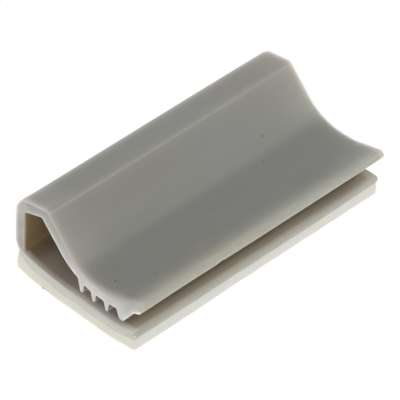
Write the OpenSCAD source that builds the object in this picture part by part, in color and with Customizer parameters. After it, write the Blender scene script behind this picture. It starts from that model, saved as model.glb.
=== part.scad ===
// Adhesive flat cable clamp: a soft extruded strip whose sprung arm presses a flat cable
// against its base with a row of teeth, stuck down by foam tape.
// Millimetres. X runs along the extrusion, the mouth faces -Y, Z rises from the adhesive face.

/* [Strip] */
// Length that the extrusion is cut to
strip_length = 50; // [15:1:100]
// Thickness of the back wall and the roof
wall_t = 1.8; // [1.2:0.1:2.2]

/* [Foam tape] */
// Thickness of the tape
tape_t = 1.8; // [0.8:0.1:3]
// How far the tape stays inside the outline of the base
tape_inset = 0; // [0:0.05:0.5]
// Radius of the tape's four corners, seen from above
tape_corner_r = 0.5; // [0.1:0.1:2]

/* [Base] */
// Width of the base, from its front nose to the outside of the back wall
base_w = 25; // [24:0.1:28]
// Thickness of the base at mid width
base_t = 1.58; // [1.2:0.02:2]
// How much thicker the base is at the back than at the front
base_taper = 0.62; // [0:0.02:0.8]
// Radius along the base's front edges
nose_r = 0.45; // [0.1:0.05:0.45]
// Radius under the heel, where the base runs up into the back wall
heel_r = 3.3; // [1:0.1:3.6]
// How far the front edge of the loose strip curls up
front_curl = 0.8; // [0:0.05:1.2]
// Width of the front strip that curls up
front_curl_w = 6; // [4:0.5:7]
// How far the back edge of the loose strip curls up
back_curl = 0.88; // [0:0.02:1.2]
// Width of the back strip that curls up
back_curl_w = 8.5; // [6:0.5:9]

/* [Arm] */
// Thickness of the arm, from the ridge to the teeth
arm_t = 1.95; // [1.4:0.05:2.2]
// Height of the ridge above the base at mid width, measured to its sharp corner
ridge_h = 12.55; // [11.5:0.05:13.5]
// Distance from the outside of the back wall to the ridge
ridge_back = 6.85; // [6:0.05:7.6]
// Rise of the roof from the back wall to the ridge, in degrees
roof_angle = 10.5; // [4:0.5:16]
// Steepness of the slope in front of the ridge, in degrees
slope_angle = 50; // [45:1:56]
// Height of the lowest line of the arm's upper face above the base at mid width
saddle_h = 4.58; // [4.2:0.02:5.4]
// Radius of the arm's upper face at the foot of the slope
saddle_r = 8; // [5:0.5:8.5]
// Distance from the base's front nose to the bend of the lip
lip_bend = 4.25; // [3.6:0.05:4.6]
// Radius of the arm's upper face at the bend of the lip
lip_bend_r = 15; // [8:0.5:16]
// Rise of the lip, in degrees
lip_angle = 18; // [12:0.5:20]
// How far the lip reaches out past the base
lip_reach = 1.35; // [0.5:0.05:3]
// Thickness of the lip at its edge
lip_t = 1.3; // [0.8:0.05:1.6]
// Radius of the shoulder, where the back wall meets the roof
shoulder_r = 2.8; // [1.4:0.1:3.4]
// Radius along the ridge
ridge_r = 1.2; // [0.4:0.1:2]
// Radius along the edges of the lip
lip_r = 0.4; // [0.1:0.05:0.45]
// Radius in the corner of the channel under the ridge
inner_r = 0.45; // [0.1:0.05:1]
// Radius in the two corners of the channel along the back wall
back_corner_r = 1; // [0.2:0.1:1.4]

/* [Teeth] */
// Clear height under the teeth, which the flat cable fills
cable_gap = 1.24; // [0.8:0.02:1.6]
// Number of slim teeth
tooth_count = 3; // [1:1:3]
// Distance between slim teeth
tooth_pitch = 2.63; // [2.3:0.01:2.8]
// Width of a slim tooth at its tip
tooth_tip_w = 0.52; // [0.42:0.02:0.8]
// Radius of the edges at each tooth's tip
tooth_tip_r = 0.2; // [0.05:0.05:0.2]
// Angle of each flank of a slim tooth, in degrees
tooth_flank = 13; // [6:1:16]
// Distance from the base's front nose to the tip of the front tooth
front_tooth_y = 2.55; // [2.2:0.05:3.4]
// Distance from the tip of the front tooth to the first slim tooth
front_tooth_gap = 3.15; // [2.8:0.05:3.4]
// Width of the front tooth at its tip
front_tip_w = 0.75; // [0.45:0.05:1]
// Steepness of the front tooth's face that leads the cable in, in degrees
lead_in_angle = 54; // [45:1:65]
// Steepness of the front tooth's inner face, in degrees
front_back_angle = 67; // [60:1:85]

/* [Hidden] */

// Largest step of an arc, in degrees, and number of steps along each long curve of the base
arc_step = 6;
curve_steps = 18;

// How far up the round heel the foam is pressed, in degrees of its arc
heel_wrap = 54;
// Part of the tape's thickness at which its back edge leans in under the heel
tape_lean_share = 0.7;

body_colour = [0.57, 0.565, 0.54];
tape_colour = [0.86, 0.845, 0.79];

// Heights and places of the main faces, in the section's plane: [y, z]
back_y = base_w / 2;
front_y = -base_w / 2;
floor_z = tape_t + base_t;
tip_z = floor_z + cable_gap;
heel_start = back_y - heel_r;
inner_back_y = back_y - wall_t;

// Outer corners of the arm, before rounding
ridge = [back_y - ridge_back, floor_z + ridge_h];
shoulder = [back_y, ridge.y - ridge_back * tan(roof_angle)];
saddle_z = floor_z + saddle_h;
saddle_foot = [ridge.x - (ridge.y - saddle_z) / tan(slope_angle), saddle_z];
lip_foot = [front_y + lip_bend, saddle_z];
lip_y = front_y - lip_reach;
lip_top = [lip_y, saddle_z + (lip_foot.x - lip_y) * tan(lip_angle)];
lip_low = lip_top - [0, lip_t];

// Centres of the two rounds of the arm, which its underside shares
saddle_centre = saddle_foot + saddle_r * [-tan(slope_angle / 2), 1];
lip_centre = lip_foot + lip_bend_r * [tan(lip_angle / 2), 1];

// Tips of the teeth
front_tip_y = front_y + front_tooth_y;
slim_tips = [for (i = [0 : tooth_count - 1]) front_tip_y + front_tooth_gap + i * tooth_pitch];

// Unit vector from a to b
function toward(a, b) = (b - a) / norm(b - a);

// Vector v turned to the left by a right angle
function left_of(v) = [-v.y, v.x];

// Vector v turned to the left by an angle
function spun(v, angle) = cos(angle) * v + sin(angle) * left_of(v);

// Turn at b on the way from a to c, in degrees, positive to the left
function turn_at(a, b, c) = atan2(cross(toward(a, b), toward(b, c)), toward(a, b) * toward(b, c));

// Point where the line from p along u meets the line from q along v
function meet(p, u, q, v) = p + u * cross(q - p, v) / cross(u, v);

// Corner b of the path a, b, c, with the side before it moved over by t and the side after it by s
function inset_corner(a, b, c, t, s) =
    let (u = toward(a, b), v = toward(b, c))
    meet(b + t * left_of(u), u, b + s * left_of(v), v);

// Corner b of the path a, b, c as an arc of radius r that touches both its sides
function arc_at(a, b, c, r) =
    let (
        turn = turn_at(a, b, c),
        start = b - r * tan(abs(turn) / 2) * toward(a, b),
        spoke = -sign(turn) * r * left_of(toward(a, b)),
        steps = ceil(abs(turn) / arc_step)
    )
    [for (i = [0 : steps]) start - spoke + spun(spoke, turn * i / steps)];

// Closed outline through [corner, radius] pairs, with an arc in each corner that has a radius
function rounded(corners) =
    let (count = len(corners))
    [for (i = [0 : count - 1])
        let (a = corners[(i + count - 1) % count][0], b = corners[i][0], c = corners[(i + 1) % count][0])
        each corners[i][1] > 0 ? arc_at(a, b, c, corners[i][1]) : [b]];

// Points given as sharp corners of an outline
function sharp(points) = [for (p = points) [p, 0]];

// Even steps from one place to another
function steps_between(from, to) = [for (i = [0 : curve_steps]) from + (to - from) * i / curve_steps];

// How far the loose strip curls up at y: not in the middle, most at its long edges
function curl(y) =
    let (back_share = (y - back_y) / back_curl_w + 1, front_share = (front_y - y) / front_curl_w + 1)
    back_curl * pow(max(back_share, 0), 2) + front_curl * pow(max(front_share, 0), 2);

// Heights of the base's lower and upper faces at y
function base_low(y) = tape_t + curl(y);
function base_top(y) = base_low(y) + base_t + base_taper * y / base_w;

// Point of the round heel, at an angle of its arc
function heel_at(angle) =
    let (y = heel_start + heel_r * sin(angle))
    [y, base_low(y) + heel_r * (1 - cos(angle))];

// Height of the arm's underside at y, over the teeth
function underside(y) =
    y > saddle_centre.x ? saddle_centre.y - sqrt(pow(saddle_r + arm_t, 2) - pow(y - saddle_centre.x, 2))
    : y < lip_centre.x ? lip_centre.y - sqrt(pow(lip_bend_r + arm_t, 2) - pow(y - lip_centre.x, 2))
    : saddle_z - arm_t;

// Base, back wall, roof and arm as one strip, open between the lip and the base
module arm_outline() {
    nose_room = 2 * nose_r;
    base_low_line = [for (y = steps_between(front_y + nose_room, heel_start)) [y, base_low(y)]];
    top_start = inner_back_y - 2 * back_corner_r;
    base_top_line = [for (y = steps_between(top_start, front_y + nose_room)) [y, base_top(y)]];
    heel_line = [for (angle = [arc_step : arc_step : 90]) heel_at(angle)];
    lip_underside = [for (y = steps_between(front_tip_y, lip_centre.x)) [y, underside(y)]];
    polygon(rounded([
        [[front_y, base_low(front_y)], nose_r],
        each sharp(base_low_line),
        each sharp(heel_line),
        [shoulder, shoulder_r],
        [ridge, ridge_r],
        [saddle_foot, saddle_r],
        [lip_foot, lip_bend_r],
        [lip_top, lip_r],
        [lip_low, lip_r],
        each sharp(lip_underside),
        [inset_corner(ridge, saddle_foot, lip_foot, arm_t, arm_t), saddle_r + arm_t],
        [inset_corner(shoulder, ridge, saddle_foot, wall_t, arm_t), inner_r],
        [inset_corner([back_y, floor_z], shoulder, ridge, wall_t, wall_t), back_corner_r],
        [[inner_back_y, base_top(inner_back_y)], back_corner_r],
        each sharp(base_top_line),
        [[front_y, base_top(front_y)], nose_r]
    ]));
}

// Slim tooth with a round tip, rooted half the arm's thickness deep
module slim_tooth(y) {
    root_z = underside(y) + arm_t / 2;
    root_half_w = tooth_tip_w / 2 + (root_z - tip_z) * tan(tooth_flank);
    polygon(rounded([
        [[y - tooth_tip_w / 2, tip_z], tooth_tip_r],
        [[y + tooth_tip_w / 2, tip_z], tooth_tip_r],
        [[y + root_half_w, root_z], 0],
        [[y - root_half_w, root_z], 0]
    ]));
}

// Front tooth: a wedge whose sloping face leads the cable in under the arm
module front_tooth() {
    lead_root_z = lip_low.y;
    back_root_z = underside(front_tip_y) + arm_t / 2;
    lead_foot = front_tip_y - front_tip_w / 2;
    back_foot = front_tip_y + front_tip_w / 2;
    polygon(rounded([
        [[lead_foot, tip_z], tooth_tip_r],
        [[back_foot, tip_z], tooth_tip_r],
        [[back_foot + (back_root_z - tip_z) / tan(front_back_angle), back_root_z], 0],
        [[lead_foot - (lead_root_z - tip_z) / tan(lead_in_angle), lead_root_z], 0]
    ]));
}

// Tape that follows the curl of the base and is pressed up round its heel
module tape_outline() {
    tape_back_y = back_y - tape_inset;
    tape_front_y = front_y + tape_inset;
    lower_line = [for (y = steps_between(tape_front_y, tape_back_y)) [y, curl(y)]];
    heel_line = [for (angle = [heel_wrap : -arc_step : arc_step]) heel_at(angle)];
    upper_line = [for (y = steps_between(heel_start, front_y + 2 * nose_r)) [y, base_low(y)]];
    polygon([
        each lower_line,
        [tape_back_y, curl(tape_back_y) + tape_lean_share * tape_t],
        each heel_line,
        each upper_line,
        [tape_front_y, base_low(tape_front_y)]
    ]);
}

// Section in the Y-Z plane drawn out along X, to a length about the middle
module drawn_out(length) {
    rotate([90, 0, 90])
        linear_extrude(height = length, center = true)
            children();
}

module clamp_body() {
    color(body_colour)
        drawn_out(strip_length) {
            arm_outline();
            front_tooth();
            for (y = slim_tips) slim_tooth(y);
        }
}

module foam_tape() {
    half_l = strip_length / 2 - tape_inset;
    half_w = base_w / 2 - tape_inset;
    color(tape_colour)
        intersection() {
            drawn_out(2 * half_l) tape_outline();
            linear_extrude(height = floor_z + heel_r)
                polygon(rounded([for (p = [[-1, -1], [1, -1], [1, 1], [-1, 1]])
                    [[p.x * half_l, p.y * half_w], tape_corner_r]]));
        }
}

clamp_body();
foam_tape();
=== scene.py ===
"""Adhesive flat cable clamp: a soft grey extrusion on cream foam tape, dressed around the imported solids."""

import math
from functools import reduce

import bmesh
import bpy
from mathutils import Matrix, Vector, kdtree, noise
from mathutils.geometry import intersect_line_line_2d


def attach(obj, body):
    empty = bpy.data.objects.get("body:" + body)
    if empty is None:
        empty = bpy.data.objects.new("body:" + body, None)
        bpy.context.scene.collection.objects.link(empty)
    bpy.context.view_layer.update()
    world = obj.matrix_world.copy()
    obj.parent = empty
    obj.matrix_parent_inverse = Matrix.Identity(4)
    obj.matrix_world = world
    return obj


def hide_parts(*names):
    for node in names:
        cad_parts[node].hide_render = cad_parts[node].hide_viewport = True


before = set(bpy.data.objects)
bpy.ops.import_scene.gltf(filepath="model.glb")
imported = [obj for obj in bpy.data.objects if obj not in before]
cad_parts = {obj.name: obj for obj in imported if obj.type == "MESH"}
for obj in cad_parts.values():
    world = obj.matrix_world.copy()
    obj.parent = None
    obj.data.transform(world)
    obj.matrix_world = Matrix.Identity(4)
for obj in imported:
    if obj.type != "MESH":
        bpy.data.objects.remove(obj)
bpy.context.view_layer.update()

# All lengths of the part are in millimetres until a mesh is finished
MM = 0.001

# Main sizes of the section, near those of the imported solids. X runs along the strip, with its near end
# at -X, Y from the mouth to the back wall and Z up from the face of the tape
HALF_LENGTH = 25.0
BACK_Y = 12.49
NOSE_Y = -12.66
BASE_W = 25.0
BASE_T = 1.40
BASE_TAPER = 0.62
TAPE_T = 1.94
TAPE_FRONT_Y = -12.56
RIDGE = Vector((5.65, 15.88))
ROOF_ANGLE = 9.6
SLOPE_ANGLE = 50.0
SADDLE_Z = 7.96
SADDLE_R = 8.0
LIP_FOOT = Vector((-8.25, SADDLE_Z))
LIP_BEND_R = 15.0
LIP_ANGLE = 18.0
LIP_Y = -13.74
LIP_LOW = Vector((LIP_Y, 8.43))
LIP_NOTCH = Vector((-12.2, 7.75))

# The long edges of the loose strip curl up: where each curl begins, its width and its height,
# for the face of the tape and for the base
TAPE_CURL = {"front": (-6.5, 6.0, 0.80), "back": (4.0, 8.5, 0.88)}
BASE_CURL = {"front": (-6.5, 6.0, 0.88), "back": (1.0, 11.5, 1.30)}

# Thickness of the parts of the strip. That of the slope is measured at a distance from the ridge
WALL_T = 1.68
SLOPE_T = 1.94
SLOPE_GAUGE = 5.5
SLOPE_INSIDE_ANGLE = 47.0
ROOF_INSIDE = Vector((7.6, 13.79))
ROOF_INSIDE_ANGLE = 18.5
ARM_T = 1.74

# Teeth: place of each tip in the section, width of the tip and lean of the flanks, as width for height
FRONT_TOOTH = Vector((-9.76, 4.87))
FRONT_TIP_W = 0.8
FRONT_BACK_LEAN = 0.34
SLIM_TEETH = (Vector((-6.75, 4.62)), Vector((-4.03, 4.70)), Vector((-1.50, 4.78)))
SLIM_TIP_W = 0.5
SLIM_LEAN = 0.20

# Heights that part the base from the teeth, and the low part of the section from the arm
TEETH_CLEAR_Z = 4.2
LOW_PART_Z = 5.0

# Roundings of the section
NOSE_R = 0.45
HEEL_R = 3.3
HEEL_INNER_R = 0.9
SHOULDER_R = 3.1
SHOULDER_INNER_R = 1.1
RIDGE_R = 1.2
RIDGE_INNER_R = 0.25
LIP_TOP_R = 0.5
LIP_LOW_R = 0.35
NOTCH_R = 0.25
FRONT_TIP_R = 0.35
TIP_R = 0.24
ROOT_R = 0.32

# Roundings of the cut edges, with what is added where the knife pulled the edge over or wear took it,
# and the share of that which the saddle lacks
NEAR_CUT_R = 0.1
NEAR_CUT_EXTRA = 0.28
SADDLE_LACKS_CUT = 0.4
FLOOR_CUT_EXTRA = 0.1
FLOOR_FRONT_EXTRA = 0.3
NOSE_CUT_EXTRA = 0.25
BACK_CUT_R = 0.05
FAR_CUT_R = 0.05
FAR_CUT_EXTRA = 0.4

# Bent far front corner of the base: its lift, the bow of the end behind it, the share of that bow which
# the front edge lacks, and how much shorter the base and the tape are cut there
FAR_CORNER_LIFT = 0.2
FAR_BOW = 0.41
EDGE_LACKS_BOW = 0.8
FAR_SKEW = 0.17
TAPE_SKEW = 0.24

# Twist of the strip: how far the ridge leans back and drops half way along it, and how much more
# at the far end, which is as much less at the near end
MIDDLE_LEAN = -0.01
FAR_LEAN = 0.31
MIDDLE_DROP = 0.285
FAR_DROP = 0.315

# How far the rest of the strip has sprung, with the share of the lip's lift that its near end lacks and
# the share of the ripple that goes sideways
ROOF_SAG = 0.07
TOP_FAR_LIFT = 0.10
LIP_FAR_LIFT = 0.22
LIP_NEAR_LIFT = 0.10
END_LACKS_LIFT = 0.6
LIP_REACH = 0.09
BEND_LIFT = 0.17
RIPPLE = 0.04
RIPPLE_SIDEWAYS = 0.25
RIPPLES_ALONG = 0.11
RIPPLES_ACROSS = 0.2
NICK_X = -8.7
NICK_HALF_W = 0.7
NICK_DEPTH = 0.2

# Foam tape: roundings, gap under the base, lean of the back where it presses up round the heel,
# share of the front curl that the near end lacks, and the waver of its sides
TAPE_CORNER_R = 0.25
TAPE_TOP_R = 0.04
TAPE_LOW_R = 0.2
TAPE_GAP = 0.004
HEEL_LEAN = 0.65
HEEL_LEAN_BEND = 2.2
NEAR_DROOP = 0.25
WAVER = 0.05
WAVER_RATE = 0.3
FINE_WAVER = 0.02
FINE_WAVER_RATE = 1.3
WAVER_CAP = 0.3

# Fineness of the meshes: steps of the curves, slices by their distance from an end, rows of slices as
# first place, last place and count, heights of the slices in the tape, and what is taken for a cut face
# or a crease
CURL_STEPS = 48
ROOT_ROUNDS = 8
HEEL_STEP_ANGLE = 4
ARC_STEP_ANGLE = 7
LEAST_ARC_STEPS = 3
STRIP_CUTS = 99
NEAR_END_SLICES = (0.01, 0.03, 0.06, 0.1, 0.15, 0.21, 0.28, 0.36, 0.44)
FAR_END_SLICES = (0.004, 0.015, 0.03, 0.05, 0.1, 0.17, 0.26, 0.36, 0.45)
TAPE_CORNER_STEPS = 6
TAPE_RIM_STEPS = 3
TAPE_SLICES_ALONG = (-24.0, 24.0, 60)
TAPE_SLICES_ACROSS = (-12.2, 12.2, 61)
TAPE_LAYERS = (0.5, 0.9, 1.3)
SLICE_TOLERANCE = 0.0001
CUT_FACE_SIDES = 12
CREASE_ANGLE = 35


# Shapes

def along(angle):
    """Unit vector in the section at an angle, in degrees, from the back-pointing Y axis"""
    return Vector((math.cos(math.radians(angle)), math.sin(math.radians(angle))))


def meet(p, p_way, q, q_way):
    """Corner in which the line through p meets the line through q"""
    far = 60.0
    return intersect_line_line_2d(p - far * p_way, p + far * p_way, q - far * q_way, q + far * q_way)


SLOPE = along(SLOPE_ANGLE)
ROOF = along(180 - ROOF_ANGLE)
SADDLE_FOOT = meet(RIDGE, SLOPE, LIP_FOOT, along(0))
SADDLE_CENTRE = SADDLE_FOOT + SADDLE_R * Vector((-math.tan(math.radians(SLOPE_ANGLE / 2)), 1))
LIP_CENTRE = LIP_FOOT + LIP_BEND_R * Vector((math.tan(math.radians(LIP_ANGLE / 2)), 1))
HEEL_START = BACK_Y - HEEL_R


def curl(y, edges):
    """Height of the curl at y"""
    start, width, height = edges["front"]
    front = height * max((start - y) / width, 0.0) ** 2
    start, width, height = edges["back"]
    return front + height * max((y - start) / width, 0.0) ** 2


def base_low(y):
    """Height of the base's lower face, with the curl and the round heel"""
    across = min(max(y - HEEL_START, 0.0), HEEL_R)
    return TAPE_T + curl(y, BASE_CURL) + HEEL_R - math.sqrt(HEEL_R ** 2 - across ** 2)


def base_top(y):
    """Height of the base's upper face, which is thicker toward the back"""
    return TAPE_T + curl(y, BASE_CURL) + BASE_T + BASE_TAPER * y / BASE_W


def underside(y):
    """Height of the arm's underside over the teeth"""
    for centre, radius, inside in ((SADDLE_CENTRE, SADDLE_R, y > SADDLE_CENTRE.x),
                                   (LIP_CENTRE, LIP_BEND_R, y < LIP_CENTRE.x)):
        if inside:
            return centre.y - math.sqrt((radius + ARM_T) ** 2 - (y - centre.x) ** 2)
    return SADDLE_Z - ARM_T


def root_of(foot, lean):
    """Point where a tooth's flank, leaning by width for height, runs into the arm's underside"""
    y = foot.x
    for _ in range(ROOT_ROUNDS):
        y = foot.x + lean * (underside(y) - foot.y)
    return Vector((y, underside(y)))


def steps(start, stop, count):
    """Evenly spaced places from start to stop"""
    return [start + (stop - start) * i / count for i in range(count + 1)]


def clamp_section():
    """Corners of the clamp's section with their roundings, from the nose of the base round to its top"""
    lip = along(180 - LIP_ANGLE)
    nose_end = NOSE_Y + 2 * NOSE_R
    corners = [(Vector((NOSE_Y, base_low(NOSE_Y))), NOSE_R)]
    corners += [(Vector((y, base_low(y))), 0) for y in steps(nose_end, HEEL_START, CURL_STEPS)]
    for angle in range(HEEL_STEP_ANGLE, 90, HEEL_STEP_ANGLE):
        y = HEEL_START + HEEL_R * math.sin(math.radians(angle))
        corners.append((Vector((y, base_low(y))), 0))
    front_foot = FRONT_TOOTH - Vector((FRONT_TIP_W / 2, 0))
    back_foot = FRONT_TOOTH + Vector((FRONT_TIP_W / 2, 0))
    corners += [
        (Vector((BACK_Y, base_low(BACK_Y))), 0),
        (meet(RIDGE, ROOF, Vector((BACK_Y, 0)), along(90)), SHOULDER_R),
        (RIDGE, RIDGE_R),
        (SADDLE_FOOT, SADDLE_R),
        (LIP_FOOT, LIP_BEND_R),
        (meet(LIP_FOOT, lip, LIP_LOW, along(90)), LIP_TOP_R),
        (LIP_LOW, LIP_LOW_R),
        (LIP_NOTCH, NOTCH_R),
        (front_foot, FRONT_TIP_R),
        (back_foot, FRONT_TIP_R),
        (root_of(back_foot, FRONT_BACK_LEAN), ROOT_R),
    ]
    for tip in SLIM_TEETH:
        front_foot = tip - Vector((SLIM_TIP_W / 2, 0))
        back_foot = tip + Vector((SLIM_TIP_W / 2, 0))
        corners += [
            (root_of(front_foot, -SLIM_LEAN), ROOT_R),
            (front_foot, TIP_R),
            (back_foot, TIP_R),
            (root_of(back_foot, SLIM_LEAN), ROOT_R),
        ]
    last_root = corners[-1][0]
    spoke = last_root - SADDLE_CENTRE
    slope_inside = RIDGE - SLOPE_GAUGE * SLOPE + SLOPE_T * Vector((SLOPE.y, -SLOPE.x))
    inside_way = along(SLOPE_INSIDE_ANGLE)
    roof_way = along(180 - ROOF_INSIDE_ANGLE)
    wall_inside = BACK_Y - WALL_T
    corners += [
        (meet(last_root, Vector((-spoke.y, spoke.x)), slope_inside, inside_way), SADDLE_R + ARM_T),
        (meet(slope_inside, inside_way, ROOF_INSIDE, roof_way), RIDGE_INNER_R),
        (meet(ROOF_INSIDE, roof_way, Vector((wall_inside, 0)), along(90)), SHOULDER_INNER_R),
        (Vector((wall_inside, base_top(wall_inside))), HEEL_INNER_R),
    ]
    top_start = wall_inside - 2 * HEEL_INNER_R
    corners += [(Vector((y, base_top(y))), 0) for y in steps(top_start, nose_end, CURL_STEPS)]
    corners.append((Vector((NOSE_Y, base_top(NOSE_Y))), NOSE_R))
    return corners


def round_corner(bm, corner, radius):
    """Bevels one corner of a flat outline into an arc"""
    one, other = [edge.other_vert(corner).co - corner.co for edge in corner.link_edges]
    half_turn = (math.pi - one.angle(other)) / 2
    # The bevel draws a squeezed quarter circle, so its reach is trimmed to lie on the true arc
    reach = radius * math.tan(half_turn) * (1 + math.sqrt(0.5)) / (1 + math.cos(half_turn))
    segments = max(LEAST_ARC_STEPS, math.ceil(math.degrees(half_turn) * 2 / ARC_STEP_ANGLE))
    bmesh.ops.bevel(bm, geom=[corner], offset=reach, offset_type="OFFSET", affect="VERTICES",
                    segments=segments, profile=0.5, material=-1)


def round_edges(bm, edges, radius, segments):
    """Bevels edges of a solid"""
    bmesh.ops.bevel(bm, geom=edges, offset=radius, offset_type="OFFSET", affect="EDGES",
                    segments=segments, profile=0.5, material=-1)


def edges_along(bm, axis):
    """Edges that run more than 1 mm along an axis"""
    return [edge for edge in bm.edges if abs(edge.verts[0].co[axis] - edge.verts[1].co[axis]) > 1]


def slice_across(bm, axis, places):
    """Cuts new edges into a mesh where planes across an axis pass through it"""
    facing = Vector([float(i == axis) for i in range(3)])
    for place in places:
        everything = bm.verts[:] + bm.edges[:] + bm.faces[:]
        bmesh.ops.bisect_plane(bm, geom=everything, dist=SLICE_TOLERANCE,
                               plane_co=place * facing, plane_no=facing)


def eased(value, low, high):
    """0 below low, 1 above high, smooth between"""
    t = min(max((value - low) / (high - low), 0.0), 1.0)
    return t * t * (3 - 2 * t)


def far_corner(x, y):
    """1 at the far end of the base's front edge, 0 elsewhere"""
    return eased(x, 12.0, HALF_LENGTH) * eased(-y, 8.0, 12.0)


def far_bow(x, y):
    """Height by which the far end of the base is lifted at its front corner and bows up behind it"""
    behind_corner = eased(-y, 4.0, 9.0) * (1 - EDGE_LACKS_BOW * eased(-y, 10.3, 12.6))
    return FAR_CORNER_LIFT * far_corner(x, y) + FAR_BOW * eased(x, 19.0, HALF_LENGTH) * behind_corner


def ridge_lean(x, y):
    """How far the twist takes the ridge back, dying out toward the lip and, at the far end, the wall"""
    lean = (MIDDLE_LEAN + FAR_LEAN * x / HALF_LENGTH) * (1 - eased(-y, 4.0, 10.0))
    if lean > 0:
        lean *= 1 - eased(y, 8.5, 11.5)
    return lean


def roof_sag(x, y, z):
    """How far the back of the roof sags: down along the near half, up toward the far end"""
    sag = eased(x, -24.5, -20.0) * (1 - eased(x, -2.0, 12.0)) - eased(x, 8.0, 24.0)
    return ROOF_SAG * sag * eased(y, 8.0, 11.0) * eased(z, 9.0, 12.0)


def top_lift(x, y, depth):
    """How far the upper faces rise toward the far end, the lip most of all"""
    lift = TOP_FAR_LIFT + LIP_FAR_LIFT * eased(-y, 7.0, 10.5)
    return lift * eased(x, -5.0, HALF_LENGTH) * (1 - eased(depth, 0.2, 1.2))


def under_lip_lift(x):
    """How far the underside of the lip rises along its near half and in a small nick"""
    lift = LIP_NEAR_LIFT * eased(-x, 0.0, 12.0) * (1 - END_LACKS_LIFT * eased(-x, 18.0, HALF_LENGTH))
    return lift + NICK_DEPTH * max(1 - abs(x - NICK_X) / NICK_HALF_W, 0.0)


def settled(co):
    """Place of a point of the strip after it has bent, twisted and sprung a little"""
    x, y, z = co
    if z < TEETH_CLEAR_Z:
        return Vector((x - FAR_SKEW * far_corner(x, y), y, z + far_bow(x, y)))
    along_strip = x / HALF_LENGTH
    twist = eased(z, 6.5, 13.5)
    in_arm = 1 - eased(y, 4.0, 4.4)
    at_lip = in_arm * eased(-y, 8.0, 13.0)
    # Depth below the top of the saddle and the lip
    depth = SADDLE_Z + max(LIP_FOOT.x - y, 0.0) * math.tan(math.radians(LIP_ANGLE)) - z
    ripple = noise.noise(Vector((x * RIPPLES_ALONG, y * RIPPLES_ACROSS, z * RIPPLES_ACROSS))) * RIPPLE
    bend_lift = BEND_LIFT * (1 - along_strip) / 2 * (1 - eased(abs(y - 0.3), 0.8, 3.6))
    arm_lift = in_arm * (bend_lift + ripple * (1 - twist))
    arm_shift = in_arm * ripple * RIPPLE_SIDEWAYS
    y_new = y + arm_shift + twist * ridge_lean(x, y) + LIP_REACH * along_strip * at_lip
    z_new = z + arm_lift + top_lift(x, y, depth) + at_lip * eased(depth, 0.4, 1.2) * under_lip_lift(x)
    z_new -= roof_sag(x, y, z) + twist * (MIDDLE_DROP + FAR_DROP * along_strip)
    return Vector((x, y_new, z_new))


def soften(bm):
    """Smooth shading, with a crease wherever the mesh turns sharply, and cut faces split evenly"""
    for face in bm.faces:
        face.smooth = len(face.verts) < CUT_FACE_SIDES
    cut_faces = [face for face in bm.faces if not face.smooth]
    bmesh.ops.triangulate(bm, faces=cut_faces, ngon_method="BEAUTY")
    for edge in bm.edges:
        edge.smooth = edge.calc_face_angle(0.0) < math.radians(CREASE_ANGLE)


def finish_piece(bm, name, node, material):
    """Turns a bmesh in millimetres into a piece that stands for a CAD node"""
    bmesh.ops.recalc_face_normals(bm, faces=bm.faces)
    soften(bm)
    bmesh.ops.scale(bm, vec=(MM, MM, MM), verts=bm.verts)
    mesh = bpy.data.meshes.new(name)
    bm.to_mesh(mesh)
    bm.free()
    mesh.materials.append(material)
    piece = bpy.data.objects.new(name, mesh)
    bpy.context.scene.collection.objects.link(piece)
    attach(piece, "root")
    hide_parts(node)


def ways_in(outline):
    """For each point of a closed outline in the section, the way into the material, so long that it
    moves both sides of the outline in by 1"""
    count = len(outline)
    sides = [(outline[(i + 1) % count] - outline[i]).normalized() for i in range(count)]
    area = sum(a.cross(b) for a, b in zip(outline, outline[1:] + outline[:1]))
    turn = math.copysign(1, area)
    ways = []
    for i in range(count):
        before = turn * Vector((-sides[i - 1].y, sides[i - 1].x))
        after = turn * Vector((-sides[i].y, sides[i].x))
        ways.append((before + after) / (1 + before.dot(after)))
    return ways


def near_cut_radius(point, way):
    """Rounding of the near cut edge, which the knife pulled over most along the upper faces and the lip"""
    y, z = point
    upper = eased(-way.y, 0.0, 0.6)
    if z < LOW_PART_Z:
        floor_edge = upper * (FLOOR_CUT_EXTRA + FLOOR_FRONT_EXTRA * eased(-y, -3.0, 1.0))
        return NEAR_CUT_R + max(NOSE_CUT_EXTRA * eased(-y, 11.9, 12.6), floor_edge)
    on_back = y > BACK_Y - 0.2 and z < 10.0
    if on_back:
        return BACK_CUT_R
    share = 1 - SADDLE_LACKS_CUT * eased(-y, -1.0, 2.0) + eased(-y, 5.0, 8.5)
    return NEAR_CUT_R + NEAR_CUT_EXTRA * upper * share


def far_cut_radius(point, way):
    """Rounding of the far cut edge, which is worn round at the front of the lip"""
    y, z = point
    worn = eased(-y, 10.5, 13.3) * eased(-way.y, -0.2, 0.6) if z > LOW_PART_Z else 0.0
    return FAR_CUT_R + FAR_CUT_EXTRA * worn


def set_back(radius, away):
    """How far a rounded edge lies inside the outline at a distance from the cut"""
    if away >= radius:
        return 0.0
    return radius - math.sqrt(radius ** 2 - (radius - away) ** 2)


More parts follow.
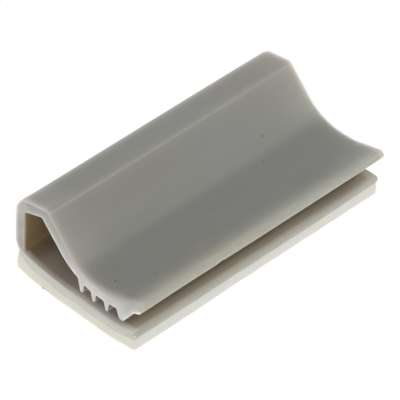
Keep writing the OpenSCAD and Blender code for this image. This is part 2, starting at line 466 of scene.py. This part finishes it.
def make_clamp(material):
    """The extruded strip: one section drawn, rounded, pulled to length, its cut edges softened"""
    bm = bmesh.new()
    corners = clamp_section()
    verts = [bm.verts.new((-HALF_LENGTH, corner.x, corner.y)) for corner, _ in corners]
    bm.faces.new(verts)
    for vert, (_, radius) in zip(verts, corners):
        if radius:
            round_corner(bm, vert, radius)
    section = bm.faces[:][0]
    outline = [vert.co.yz for vert in section.verts]
    ways = ways_in(outline)
    finder = kdtree.KDTree(len(outline))
    for i, point in enumerate(outline):
        finder.insert((0, point.x, point.y), i)
    finder.balance()

    pulled = bmesh.ops.extrude_face_region(bm, geom=[section])
    far_end = [item for item in pulled["geom"] if isinstance(item, bmesh.types.BMVert)]
    bmesh.ops.translate(bm, verts=far_end, vec=(2 * HALF_LENGTH, 0, 0))
    bmesh.ops.recalc_face_normals(bm, faces=bm.faces)
    bmesh.ops.subdivide_edges(bm, edges=edges_along(bm, 0), cuts=STRIP_CUTS, use_grid_fill=True)
    slice_across(bm, 0, [-HALF_LENGTH + away for away in NEAR_END_SLICES])
    slice_across(bm, 0, [HALF_LENGTH - away for away in FAR_END_SLICES])
    for vert in bm.verts:
        x, y, z = vert.co
        _, i, _ = finder.find((0, y, z))
        if x < 0:
            inward = set_back(near_cut_radius(outline[i], ways[i]), x + HALF_LENGTH)
        else:
            inward = set_back(far_cut_radius(outline[i], ways[i]), HALF_LENGTH - x)
        vert.co = settled(Vector((x, y + inward * ways[i].x, z + inward * ways[i].y)))
    finish_piece(bm, "clamp_strip", "clamp_body", material)


def waver(x, y, z):
    """How far the side of the foam lies off its straight line: 0 at most, since it is only cut in"""
    at_side = max(eased(abs(x), 24.0, 24.9), eased(abs(y), 11.5, 12.4))
    wave = noise.noise(Vector((x * WAVER_RATE, y * WAVER_RATE, 3.0)))
    fine = noise.noise(Vector((x * FINE_WAVER_RATE, y * FINE_WAVER_RATE, z * FINE_WAVER_RATE + 9.0)))
    cut_in = WAVER * min(wave - WAVER_CAP, 0.0) + FINE_WAVER * min(fine - WAVER_CAP, 0.0)
    return at_side * cut_in


def make_tape(material):
    """The foam tape: a pad with soft edges that follows the base's curl and presses up round its heel"""
    bm = bmesh.new()
    bmesh.ops.create_cube(bm, size=1.0)
    bmesh.ops.scale(bm, vec=(2 * HALF_LENGTH, BACK_Y - TAPE_FRONT_Y, TAPE_T), verts=bm.verts)
    bmesh.ops.translate(bm, vec=(0, (BACK_Y + TAPE_FRONT_Y) / 2, TAPE_T / 2), verts=bm.verts)
    round_edges(bm, edges_along(bm, 2), TAPE_CORNER_R, TAPE_CORNER_STEPS)
    for height, radius in ((0.0, TAPE_LOW_R), (TAPE_T, TAPE_TOP_R)):
        rim = [edge for edge in bm.edges if all(abs(vert.co.z - height) < 0.01 for vert in edge.verts)]
        round_edges(bm, rim, radius, TAPE_RIM_STEPS)
    slice_across(bm, 0, steps(*TAPE_SLICES_ALONG))
    slice_across(bm, 1, steps(*TAPE_SLICES_ACROSS))
    slice_across(bm, 2, TAPE_LAYERS)
    for vert in bm.verts:
        x, y, z = vert.co
        share = z / TAPE_T
        off_line = waver(x, y, z)
        heel_lean = HEEL_LEAN * share ** HEEL_LEAN_BEND * eased(y, 10.0, 12.4)
        x_new = x + off_line * math.copysign(1, x) - TAPE_SKEW * far_corner(x, y)
        y_new = y + off_line * math.copysign(1, y) - heel_lean
        droop = 1 - NEAR_DROOP * eased(-x, 4.0, 16.0) * eased(-y, 10.0, 12.0)
        low = droop * curl(y, TAPE_CURL)
        high = base_low(y_new) + far_bow(x, y_new) - TAPE_GAP
        vert.co = Vector((x_new, y_new, low + share * (high - low)))
    finish_piece(bm, "foam_pad", "foam_tape", material)


# Finishes

class Wire:
    """An output socket that takes part in Python arithmetic: each operator adds a Math node"""

    def __init__(self, board, socket):
        self.board = board
        self.socket = socket

    def maths(self, operation, *terms):
        """A Math node on wires and numbers"""
        return self.board.add("ShaderNodeMath", {"operation": operation}, dict(enumerate(terms)))

    def __add__(self, other):
        return self.maths("ADD", self, other)

    def __radd__(self, other):
        return self.maths("ADD", other, self)

    def __sub__(self, other):
        return self.maths("SUBTRACT", self, other)

    def __rsub__(self, other):
        return self.maths("SUBTRACT", other, self)

    def __mul__(self, other):
        return self.maths("MULTIPLY", self, other)

    def __rmul__(self, other):
        return self.maths("MULTIPLY", other, self)

    def __pow__(self, other):
        return self.maths("POWER", self, other)

    def __abs__(self):
        return self.maths("ABSOLUTE", self)

    def most(self, other):
        """The larger of two values"""
        return self.maths("MAXIMUM", self, other)


class Board:
    """The node tree of one finish"""

    def __init__(self, owner):
        owner.use_nodes = True
        self.tree = owner.node_tree
        self.tree.nodes.clear()

    def add(self, kind, settings=None, sockets=None, out=0):
        """Any node: its type, its settings, the values or wires of its sockets, and which output to use"""
        node = self.tree.nodes.new(kind)
        for name, value in (settings or {}).items():
            setattr(node, name, value)
        for key, value in (sockets or {}).items():
            if isinstance(value, Wire):
                self.tree.links.new(value.socket, node.inputs[key])
            else:
                node.inputs[key].default_value = value
        return Wire(self, node.outputs[out]) if len(node.outputs) else None

    def place(self, scale=(1, 1, 1)):
        """Object coordinates, stretched by a scale"""
        here = self.add("ShaderNodeTexCoord", out="Object")
        return self.add("ShaderNodeMapping", {}, {"Vector": here, "Scale": scale})

    def grain(self, scale, stretch=(1, 1, 1), detail=3.0, roughness=0.5):
        """Noise from 0 to 1, with scale repeats a metre"""
        return self.add("ShaderNodeTexNoise", {}, {
            "Vector": self.place(stretch), "Scale": scale, "Detail": detail, "Roughness": roughness})

    def ramp(self, value, low, high, to_low=0.0, to_high=1.0):
        """Smooth step of a value from one range to another"""
        return self.add("ShaderNodeMapRange", {"interpolation_type": "SMOOTHSTEP"}, {
            "Value": value, "From Min": low, "From Max": high, "To Min": to_low, "To Max": to_high})

    def tint(self, factor, one, other):
        """Mix of two colours"""
        return self.add("ShaderNodeMix", {"data_type": "RGBA"}, {0: factor, 6: one, 7: other}, out=2)

    def layered(self, base, *layers):
        """A colour with tones laid over it in turn, each as strong as its mask says"""
        for mask, tone in layers:
            base = self.tint(mask, base, tone)
        return base

    def axes(self):
        """Place along X, Y and Z, in millimetres"""
        here = self.place((1 / MM, 1 / MM, 1 / MM))
        return [self.add("ShaderNodeSeparateXYZ", {}, {0: here}, out=axis) for axis in "XYZ"]

    def near(self, point, stretch=(1, 1, 1)):
        """Distance in millimetres from a point, with the axes stretched"""
        centre = tuple(p * s for p, s in zip(point, stretch))
        here = self.place(tuple(s / MM for s in stretch))
        return self.add("ShaderNodeVectorMath", {"operation": "DISTANCE"}, {0: here, 1: centre},
                        out="Value")

    def bump(self, strength, distance, height):
        """Surface turned by a height, where distance in millimetres is the height of 1"""
        return self.add("ShaderNodeBump", {}, {
            "Strength": strength, "Distance": distance * MM, "Height": height})

    def soaking(self, finish, depth):
        """Shader into which light soaks to a depth in millimetres"""
        return self.add("ShaderNodeBsdfPrincipled", {"subsurface_method": "RANDOM_WALK"}, {
            **finish, "Subsurface Scale": depth * MM})


def colour(red, green, blue):
    """An opaque colour"""
    return (red, green, blue, 1.0)


# Colours of the outer skin, among them painted highlight, glow, reflection and shade
SKIN_WARM = colour(0.363, 0.357, 0.328)
SKIN_COOL = colour(0.347, 0.349, 0.325)
SKIN_FAR = colour(0.362, 0.371, 0.346)
SLOPE_NEAR = colour(0.354, 0.340, 0.316)
TOP_FAR = colour(0.390, 0.370, 0.344)
DIE_LINE = colour(0.42, 0.41, 0.37)
CREST_HIGHLIGHT = colour(0.52, 0.50, 0.45)
SADDLE_SHADE = colour(0.30, 0.297, 0.272)
END_GLOW = colour(0.80, 0.77, 0.68)
FOOT_REFLECTION = colour(0.80, 0.79, 0.72)
RIM_GLOW = colour(0.80, 0.79, 0.75)
FAR_RIM_SHADE = colour(0.20, 0.20, 0.20)
LIP_FRONT_SHADE = colour(0.24, 0.225, 0.185)
SPECK = colour(0.10, 0.09, 0.075)

# Painted light and shade in the channel and under the teeth: paler floors, brown shade on walls and flanks
CHANNEL_FLOOR_LIGHT = colour(0.52, 0.45, 0.375)
TEETH_FLOOR_LIGHT = colour(0.74, 0.64, 0.525)
GAP_FLOOR_LIGHT = colour(0.66, 0.55, 0.45)
CHANNEL_WALL_SHADE = colour(0.235, 0.17, 0.098)
TOOTH_FLANK_SHADE = colour(0.13, 0.098, 0.08)
INNER_HEEL_SHADE = colour(0.37, 0.29, 0.19)
WALL_FOOT_SHADE = colour(0.12, 0.08, 0.03)

# Painted light and shade on the base in the mouth, along its ends and at its nose
MOUTH_FLOOR_LIGHT = colour(0.63, 0.545, 0.42)
MOUTH_FRONT_LIGHT = colour(0.83, 0.775, 0.67)
MOUTH_BACK_SHADE = colour(0.47, 0.40, 0.31)
MOUTH_FAR_SHADE = colour(0.45, 0.36, 0.27)
FLOOR_EDGE_LIGHT_BACK = colour(0.80, 0.765, 0.69)
FLOOR_EDGE_LIGHT_FRONT = colour(0.97, 0.94, 0.87)
FLOOR_EDGE_LIGHT_CUT = colour(0.70, 0.685, 0.645)
NOSE_LOW = colour(0.375, 0.36, 0.325)
NOSE_TOP_LIGHT = colour(0.64, 0.615, 0.56)
NOSE_NEAR_LIGHT = colour(0.56, 0.545, 0.51)

# Colours of the cut faces, with painted light and shade: those of the grain in pairs
CUT_LIT = (colour(0.495, 0.480, 0.440), colour(0.545, 0.530, 0.485))
CUT_DULL = (colour(0.270, 0.266, 0.257), colour(0.305, 0.302, 0.290))
CUT_GREY = (colour(0.425, 0.425, 0.415), colour(0.465, 0.465, 0.455))
CUT_BACK_SHADE = colour(0.20, 0.198, 0.19)
CUT_BEND = colour(0.42, 0.375, 0.43)
CUT_LIP = colour(0.33, 0.318, 0.30)
CUT_TOOTH_TIP = colour(0.29, 0.25, 0.245)
CUT_SHOULDER = colour(0.50, 0.46, 0.45)
CUT_SHADE = colour(0.20, 0.195, 0.188)

# Colours of the foam
FOAM_CREAM = colour(0.65, 0.635, 0.55)
FOAM_GREYER = colour(0.615, 0.605, 0.535)
FOAM_CLUMP = colour(0.56, 0.54, 0.46)
FOAM_FRONT = colour(0.60, 0.592, 0.552)
FOAM_MARK = colour(0.14, 0.12, 0.09)

# Place of a dark mark on the near end of the tape
FOAM_MARK_PLACE = (-25.0, 6.8, 0.25)

# Dark specks in the skin: place, size, stretch of the axes and strength. Each is at its full strength
# within a share of its size
SPECK_CORE = 0.3
SPECKS = (
    ((-22.16, -5.7, 8.0), 0.26, (1, 0.8, 0.5), 0.6),
    ((-21.9, -6.3, 8.0), 0.26, (1, 0.7, 0.5), 0.3),
    ((-17.0, -8.5, 8.2), 0.24, (1, 0.8, 0.5), 0.38),
    ((14.05, 0.95, 10.1), 0.28, (0.8, 1.2, 0.5), 0.42),
    ((11.36, -2.0, 8.4), 0.26, (1, 1.2, 0.5), 0.42),
)

# Place of the ridge's crest in the section, half way along the strip
CREST = Vector((5.41, 15.3))

# Roughness of the strip's skin, with what its cut faces and its grain add, and roughness of the foam
SKIN_ROUGHNESS = 0.52
CUT_ROUGHNESS = 0.14
GRAIN_ROUGHNESS = 0.12
FOAM_ROUGHNESS = 0.85

# Relief of the finishes: strength and depth in millimetres, then the heights of its parts as shares of
# that depth
SKIN_RELIEF = (0.35, 0.03)
FOAM_RELIEF = (0.4, 0.06)
DIE_LINE_HEIGHT = 0.5
SKIN_GRAIN_HEIGHT = 0.35
CUT_GRAIN_HEIGHT = 1.2
FOAM_CELL_HEIGHT = 0.6
FOAM_CLUMP_HEIGHT = 0.7

# How deep light soaks into the free part of the strip, into its base on the tape and into the foam
ARM_SOAK = 5.0
BASE_SOAK = 0.4
FOAM_SOAK = 0.5


# In the functions for the strip's colours, the steps of a ramp on x, y, z or a distance are in
# millimetres, and those of a ramp on grain lie between 0 and 1

def plain_skin(board, x, y, z, die_lines):
    """Grey skin with faint die lines and a painted highlight along the crest of the ridge"""
    cloud = board.grain(90, (0.5, 1, 1), detail=2)
    skin = board.tint(board.ramp(cloud, 0.3, 0.7), SKIN_WARM, SKIN_COOL)
    high = board.ramp(z, 10.5, 13.0, 0.0, 0.8)
    from_crest_y = y - CREST.x - FAR_LEAN / HALF_LENGTH * x
    from_crest_z = z - CREST.y + FAR_DROP / HALF_LENGTH * x
    from_crest = (from_crest_y ** 2 + from_crest_z ** 2) ** 0.5
    # The grain breaks up the painted highlight along the crest
    worn = board.ramp(board.grain(300, (0.2, 1, 1)), 0.25, 0.6, 0.4, 1.0)
    return board.layered(
        skin,
        (board.ramp(x, -8.0, 8.0, 0.0, 0.8), SKIN_FAR),
        (high * board.ramp(y, 5.6, 5.0) * board.ramp(x, 6.0, -6.0), SLOPE_NEAR),
        (high * board.ramp(x, 2.0, 18.0), TOP_FAR),
        (board.ramp(die_lines, 0.35, 0.75, 0.0, 0.10), DIE_LINE),
        (board.ramp(from_crest, 0.05, 0.4, 0.4, 0.0) * worn, CREST_HIGHLIGHT),
    )


def shaded_skin(board, x, y, z, from_end, skin):
    """Painted shade in the saddle, painted glow at the roof's ends and lip, painted reflection at the slope's
    foot
    """
    roof_ends = board.ramp(from_end, 8.0, 2.0, 0.0, 0.09) * board.ramp(z, 8.6, 10.0)
    roof_ends = roof_ends * board.ramp(x, -10.0, 10.0, 0.5, 1.0).most(board.ramp(y, 5.0, 6.0))
    lip_rim = board.ramp(y, -7.5, -12.4, 0.0, 0.085) * board.ramp(x, 0.0, 18.0, 1.0, 0.1)
    shoulder = board.ramp(y, 8.8, 11.2, 0.0, 0.12) * board.ramp(y, 12.4, 11.6) * board.ramp(z, 10.0, 12.0)
    foot = board.ramp(y, -1.7, -0.3, 0.0, 0.14) * board.ramp(y, 4.2, -0.5)
    foot = foot * board.ramp(x, -22.0, -3.0, 0.5, 1.0) * board.ramp(x, 15.0, 25.0, 1.0, 0.5)
    return board.layered(
        skin,
        (board.ramp(z, 9.4, 8.4, 0.0, 0.3), SADDLE_SHADE),
        (roof_ends.most(lip_rim) + shoulder, END_GLOW),
        (foot, FOOT_REFLECTION),
    )


def rimmed_skin(board, x, y, z, skin):
    """Painted glow along the near cut edges and the far lip, painted shade on the far rim and the lip's front
    """
    on_arm = board.ramp(y, -12.5, -10.0)
    roof_rim = board.ramp(y, 5.0, 6.5, 0.0, 0.2) * board.ramp(x, -24.0, -24.8)
    arm_rim = board.ramp(y, 0.0, -3.0, 0.0, 0.17) * on_arm * board.ramp(x, -23.5, -24.7)
    lip_end = board.ramp(y, -6.0, -9.0, 0.0, 0.18) * board.ramp(x, -22.9, -24.2)
    lip_end = lip_end * board.ramp(x, -24.9, -24.4, 0.1, 1.0)
    far_rim = board.ramp(x, 23.6, 24.8, 0.0, 0.5) * board.ramp(y, 3.5, -0.5) * on_arm
    far_lip = board.ramp(x, 23.4, 24.8, 0.0, 0.16) * board.ramp(y, -7.5, -9.5)
    lip_front = board.ramp(z, 10.0, 8.5) * board.ramp(y, -13.0, -13.5) * board.ramp(x, 0.0, 15.0, 1.0, 0.8)
    return board.layered(
        skin,
        (roof_rim + arm_rim + lip_end, RIM_GLOW),
        (far_rim, FAR_RIM_SHADE),
        (far_lip, RIM_GLOW),
        (lip_front, LIP_FRONT_SHADE),
    )


def inside_channel(board, y, z):
    """1 on the faces of the channel and between the teeth, told from the outer faces by lines along
    the middle of the walls"""
    below_slope = (y - RIDGE.x) * SLOPE.y - (z - RIDGE.y) * SLOPE.x
    from_saddle = board.near((0, SADDLE_CENTRE.x, SADDLE_CENTRE.y), (0, 1, 1))
    from_lip = board.near((0, LIP_CENTRE.x, LIP_CENTRE.y), (0, 1, 1))
    under_lip = board.ramp(from_lip, LIP_BEND_R + 0.8, LIP_BEND_R + 1.1).most(board.ramp(y, -5.5, -5.0))
    inside = board.ramp(y, 11.8, 11.3) * board.ramp(z + 0.185 * y, 16.2, 15.8)
    under_slope = board.ramp(below_slope, 0.8, 1.2).most(board.ramp(y, -1.0, -2.0))
    inside = inside * under_slope * board.ramp(from_saddle, SADDLE_R + 0.8, SADDLE_R + 1.1)
    return inside * under_lip * board.ramp(z, 2.6, 2.9) * board.ramp(y, -9.9, -9.3)


def channel_skin(board, x, y, z, from_end, skin):
    """The skin inside, painted with the brown light and shade that comes back from wall to wall"""
    under_teeth = board.ramp(y, 0.5, -0.5)
    floor = board.tint(board.ramp(y, 4.0, -3.0), CHANNEL_FLOOR_LIGHT, TEETH_FLOOR_LIGHT)
    wall = board.tint(under_teeth, CHANNEL_WALL_SHADE, TOOTH_FLANK_SHADE)
    heel = board.ramp(y, 7.5, 9.5, 0.0, 0.7) * board.ramp(z, 5.5, 4.4) * board.ramp(x, -14.0, -22.0)
    wall_foot = board.ramp(y, 9.0, 10.0, 0.0, 0.25) * board.ramp(z, 4.6, 5.6) * board.ramp(z, 8.5, 6.0)
    brown = board.layered(
        floor,
        (board.ramp(z + 0.08 * y, 4.65, 5.7), wall),
        (under_teeth * board.ramp(z, 3.75, 4.35), wall),
        (heel, INNER_HEEL_SHADE),
        (wall_foot, WALL_FOOT_SHADE),
        (board.ramp(y, -4.5, -6.0) * board.ramp(z, 4.35, 3.95), GAP_FLOOR_LIGHT),
    )
    deep = board.ramp(from_end, 0.0, 0.7, 0.4, 1.0).most(under_teeth)
    return board.tint(inside_channel(board, y, z) * deep, skin, brown)


def base_skin(board, x, y, z, from_end, skin):
    """Painted light and shade on the base in the mouth, along its two ends and round its nose"""
    on_floor = board.ramp(z - board.ramp(y, 6.0, 10.5, 0.0, 0.3), 4.6, 4.2) * board.ramp(z, 2.5, 2.7)
    mouth = board.layered(
        MOUTH_FLOOR_LIGHT,
        (board.ramp(y, -11.2, -12.1), MOUTH_FRONT_LIGHT),
        (board.ramp(y, -11.0, -9.0), MOUTH_BACK_SHADE),
        (board.ramp(x, 10.0, 20.0, 0.0, 0.3), MOUTH_FAR_SHADE),
    )
    end_edge = board.ramp(from_end - board.ramp(y, 2.0, -2.0, 0.0, 0.3), 1.4, 0.4)
    end_edge = end_edge * board.ramp(x, -5.0, 5.0, 1.0, 0.3)
    back_from_cut = board.ramp(y, 1.0, 4.0).most(board.ramp(from_end, 0.05, 0.55))
    edge = board.tint(board.ramp(y, 5.0, 1.0), FLOOR_EDGE_LIGHT_BACK, FLOOR_EDGE_LIGHT_FRONT)
    edge = board.tint(back_from_cut, FLOOR_EDGE_LIGHT_CUT, edge)
    lift = board.ramp(x, 12.0, HALF_LENGTH, 0.0, FAR_CORNER_LIFT)
    nose = board.tint(board.ramp(z - lift, 3.3, 4.0), NOSE_LOW, NOSE_TOP_LIGHT)
    nose = board.tint(board.ramp(x, -24.4, -24.8, 0.0, 0.8), nose, NOSE_NEAR_LIGHT)
    return board.layered(
        skin,
        (board.ramp(y, -6.5, -9.5) * on_floor, mouth),
        (end_edge * on_floor, edge),
        (board.ramp(y, -12.1, -12.5) * board.ramp(z, 4.6, 4.2), nose),
    )


def cut_tone(board, y, z, cut_grain):
    """Colour of the cut faces, painted pale with light, most of all low down and toward the mouth"""
    pale, dull, grey = [board.tint(cut_grain, *pair) for pair in (CUT_LIT, CUT_DULL, CUT_GREY)]
    bend = board.ramp(y, -2.0, 0.0, 0.0, 0.4) * board.ramp(y, 3.0, 1.5) * board.ramp(z, 6.0, 7.0)
    tooth_tips = board.ramp(z, 6.0, 4.9, 0.0, 0.6) * board.ramp(z, 4.2, 4.5) * board.ramp(y, 0.5, -0.5)
    wall = board.ramp(y, 10.0, 10.8, 0.0, 0.55) * board.ramp(z, 8.0, 5.6) * board.ramp(z, 4.5, 5.3)
    slope = board.ramp(y, -0.5, 2.0, 0.0, 0.2) * board.ramp(y, 5.0, 3.5) * board.ramp(z, 8.0, 9.0)
    return board.layered(
        pale,
        (board.ramp(z + 0.35 * y, 1.0, 20.0) * board.ramp(z, 3.9, 5.5), dull),
        (board.ramp(y, -3.5, -8.5) * board.ramp(z, 4.1, 4.5), grey),
        (board.ramp(y, 11.0, 12.3, 0.0, 0.85) * board.ramp(z, 4.5, 6.0), CUT_BACK_SHADE),
        (board.ramp(y, 9.6, 10.6) * board.ramp(z, 4.8, 6.2, 0.0, 0.6), dull),
        (bend, CUT_BEND),
        (board.ramp(y, -9.5, -12.0, 0.0, 0.85) * board.ramp(z, 4.6, 5.4, 0.2, 1.0), CUT_LIP),
        (tooth_tips, CUT_TOOTH_TIP),
        (board.ramp(y, 8.6, 10.4, 0.0, 0.35) * board.ramp(z, 10.0, 13.0), CUT_SHOULDER),
        (wall.most(slope), CUT_SHADE),
    )


def soft_grey_pvc():
    """Satin grey PVC with faint die lines, into which light soaks; painted light makes its cut faces paler"""
    material = bpy.data.materials.new("soft_grey_pvc")
    board = Board(material)
    x, y, z = board.axes()
    die_lines = board.grain(1500, (0.012, 1, 1), detail=3, roughness=0.6)
    skin_grain = board.grain(5200, detail=2)
    cut_grain = board.grain(2600, (1, 1, 0.35), detail=4)
    # The base is cut short at its far front corner
    cut_short = board.ramp(y, -8.0, -12.0, 0.0, FAR_SKEW) * board.ramp(x, 20.0, 24.0)
    from_end = HALF_LENGTH - abs(x) - cut_short * board.ramp(z, 5.2, 4.8)
    cut_face = board.ramp(from_end, 0.06, 0.01)

    skin = plain_skin(board, x, y, z, die_lines)
    skin = shaded_skin(board, x, y, z, from_end, skin)
    skin = rimmed_skin(board, x, y, z, skin)
    skin = channel_skin(board, x, y, z, from_end, skin)
    skin = base_skin(board, x, y, z, from_end, skin)
    base = board.tint(cut_face, skin, cut_tone(board, y, z, cut_grain))
    specks = [board.ramp(board.near(point, stretch), SPECK_CORE * size, size, strength, 0.0)
              for point, size, stretch, strength in SPECKS]
    base = board.tint(reduce(Wire.most, specks), base, SPECK)

    roughness = SKIN_ROUGHNESS + CUT_ROUGHNESS * cut_face + GRAIN_ROUGHNESS * (skin_grain - 0.5)
    height = die_lines * DIE_LINE_HEIGHT + skin_grain * SKIN_GRAIN_HEIGHT
    height = height + cut_face * cut_grain * CUT_GRAIN_HEIGHT
    finish = {
        "Base Color": base, "Roughness": roughness, "Normal": board.bump(*SKIN_RELIEF, height), "IOR": 1.5,
        "Subsurface Weight": 1.0, "Subsurface Radius": (1.0, 0.96, 0.88)}
    # The base lies on the foam, which lets no light through it from below
    on_foam = board.ramp(z, 4.9, 4.5)
    shader = board.add("ShaderNodeMixShader", {}, {
        0: on_foam, 1: board.soaking(finish, ARM_SOAK), 2: board.soaking(finish, BASE_SOAK)})
    board.add("ShaderNodeOutputMaterial", {}, {"Surface": shader})
    return material


def cream_foam():
    """Matt cream closed-cell foam, its cells cut open at the sides"""
    material = bpy.data.materials.new("cream_foam")
    board = Board(material)
    _, y, _ = board.axes()
    cells = board.add("ShaderNodeTexVoronoi", {}, {"Vector": board.place(), "Scale": 5200.0})
    clumps = board.grain(900, detail=3)
    cloud = board.grain(140, detail=2)
    base = board.layered(
        FOAM_CREAM,
        (board.ramp(cloud, 0.3, 0.7), FOAM_GREYER),
        (board.ramp(clumps, 0.55, 0.75, 0.0, 0.18), FOAM_CLUMP),
        (board.ramp(y, -12.2, -12.5, 0.0, 0.8), FOAM_FRONT),
        (board.ramp(board.near(FOAM_MARK_PLACE), 0.14, 0.36, 0.8, 0.0), FOAM_MARK),
    )
    bump = board.bump(*FOAM_RELIEF, cells * FOAM_CELL_HEIGHT + clumps * FOAM_CLUMP_HEIGHT)
    finish = {
        "Base Color": base, "Roughness": FOAM_ROUGHNESS, "Normal": bump, "IOR": 1.4,
        "Subsurface Weight": 0.6, "Subsurface Radius": (1.0, 0.9, 0.7)}
    board.add("ShaderNodeOutputMaterial", {}, {"Surface": board.soaking(finish, FOAM_SOAK)})
    return material


# Studio

# Light that the table gives off and that of the air round the object, against 1 for white
TABLE_GLOW = 1.0
HORIZON_LEVEL = 0.78
OVERHEAD_LEVEL = 0.48
FRONT_GAIN = 0.11

# What the camera sees of the table: its white, and the share of that white. The rest is the lit card,
# which keeps the shadow
SEEN_WHITE = 1.015
SEEN_SHARE = 0.97

# Colours of the studio
WHITE = colour(1, 1, 1)
CARD = colour(0.9, 0.9, 0.9)

# Half the width of the table and how far it lies below the tape, in metres
TABLE_HALF = 3.0
TABLE_DROP = 0.00002

# Camera: place in metres, angles in degrees, lens and sensor in millimetres
CAMERA_PLACE = (-0.351087, -0.362250, 0.439616)
CAMERA_LOOKS_DOWN = 40.6453
CAMERA_TURN = -44.1258
CAMERA_LENS = 407.3
CAMERA_SENSOR = 36.0
CAMERA_SEES_FROM = 0.01
CAMERA_SEES_TO = 20.0


def seen_directly(board):
    """1 for what is seen straight, in a reflection or through a piece, 0 for light on the object"""
    camera, glossy, through = [board.add("ShaderNodeLightPath", out=ray) for ray in (
        "Is Camera Ray", "Is Glossy Ray", "Is Transmission Ray")]
    return camera.most(glossy).most(through)


def make_floor():
    """Lit white table that the camera sees as near white, with a faint shadow"""
    bm = bmesh.new()
    bmesh.ops.create_grid(bm, x_segments=1, y_segments=1, size=TABLE_HALF)
    mesh = bpy.data.meshes.new("studio_floor")
    bm.to_mesh(mesh)
    bm.free()
    floor = bpy.data.objects.new("studio_floor", mesh)
    floor.location.z = -TABLE_DROP
    bpy.context.scene.collection.objects.link(floor)
    material = bpy.data.materials.new("white_card")
    board = Board(material)
    card = board.add("ShaderNodeBsdfDiffuse", {}, {"Color": CARD})
    white = board.add("ShaderNodeEmission", {}, {"Color": WHITE, "Strength": SEEN_WHITE})
    glow = board.add("ShaderNodeEmission", {}, {"Color": WHITE, "Strength": TABLE_GLOW})
    lit_card = board.add("ShaderNodeAddShader", {}, {0: card, 1: glow})
    seen_card = board.add("ShaderNodeMixShader", {}, {0: SEEN_SHARE, 1: card, 2: white})
    mixed = board.add("ShaderNodeMixShader", {}, {0: seen_directly(board), 1: lit_card, 2: seen_card})
    board.add("ShaderNodeOutputMaterial", {}, {"Surface": mixed})
    mesh.materials.append(material)


def make_air():
    """Even light from all round, weaker from overhead and stronger from the front, seen as white"""
    world = bpy.data.worlds.new("studio_air")
    bpy.context.scene.world = world
    board = Board(world)
    seen = seen_directly(board)
    way = board.add("ShaderNodeTexCoord", out="Generated")
    front = board.add("ShaderNodeSeparateXYZ", {}, {0: way}, out="Y") * -1
    up = board.add("ShaderNodeSeparateXYZ", {}, {0: way}, out="Z").most(0)
    level = HORIZON_LEVEL + (OVERHEAD_LEVEL - HORIZON_LEVEL) * up + FRONT_GAIN * front
    strength = seen + (1 - seen) * level
    air = board.add("ShaderNodeBackground", {}, {"Color": WHITE, "Strength": strength})
    board.add("ShaderNodeOutputWorld", {}, {"Surface": air})


def make_camera():
    """Long lens, above the front left of the clamp"""
    data = bpy.data.cameras.new("photo_camera")
    data.sensor_width = CAMERA_SENSOR
    data.lens = CAMERA_LENS
    data.clip_start = CAMERA_SEES_FROM
    data.clip_end = CAMERA_SEES_TO
    camera = bpy.data.objects.new("photo_camera", data)
    camera.location = CAMERA_PLACE
    camera.rotation_euler = (math.radians(90 - CAMERA_LOOKS_DOWN), 0.0, math.radians(CAMERA_TURN))
    bpy.context.scene.collection.objects.link(camera)
    bpy.context.scene.camera = camera


make_camera()
make_clamp(soft_grey_pvc())
make_tape(cream_foam())
make_floor()
make_air()

bpy.context.scene.view_settings.view_transform = "Standard"
